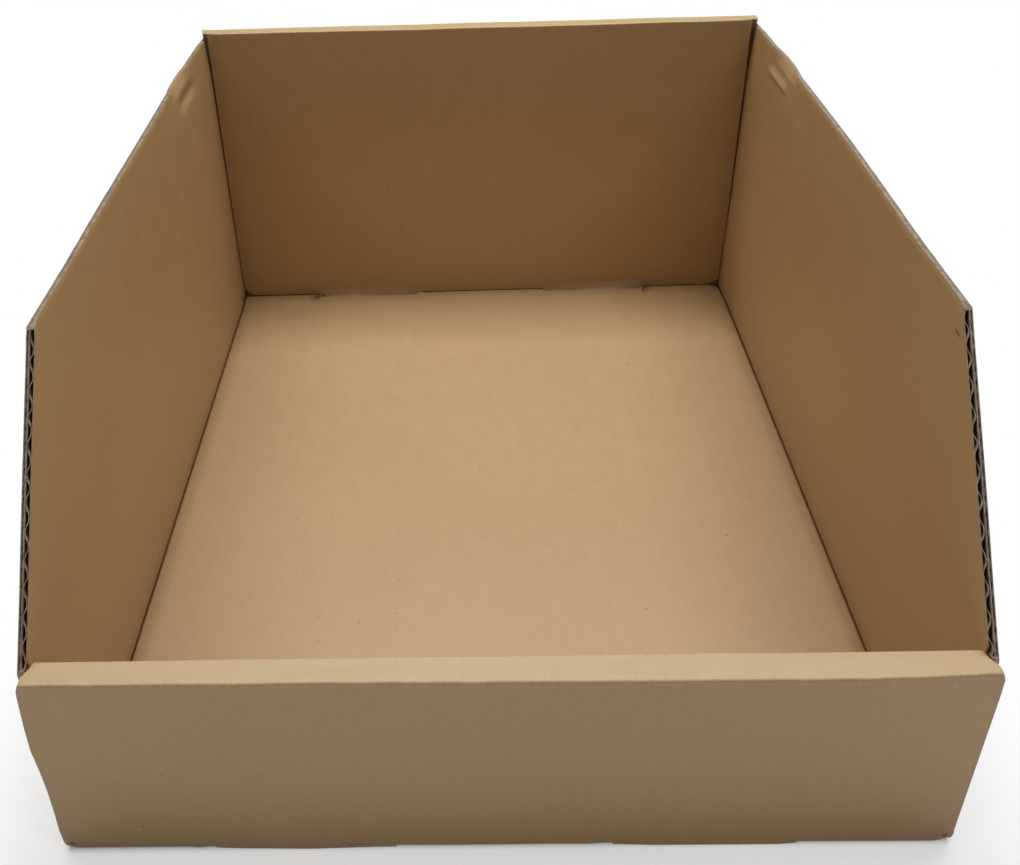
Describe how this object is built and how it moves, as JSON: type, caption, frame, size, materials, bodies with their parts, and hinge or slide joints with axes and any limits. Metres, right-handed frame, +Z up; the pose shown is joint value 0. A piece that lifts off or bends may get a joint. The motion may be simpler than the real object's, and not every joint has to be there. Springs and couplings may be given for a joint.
{
  "type": "cardboard storage bin",
  "caption": "Open-front cardboard storage bin folded from one blank, with a low front lip, sloped sides and rolled-over front and back walls.",
  "frame": {"origin": "centre of the underside, on the surface the bin stands on", "axes": "+Z up, -Y towards the low front lip, +X to the right seen from the front"},
  "size_m": [0.305, 0.4, 0.1665],
  "materials": {
    "kraft_board": "matt kraft paper"
  },
  "bodies": {
    "root": {"folded_bin": "kraft_board"}
  },
  "joints": []
}
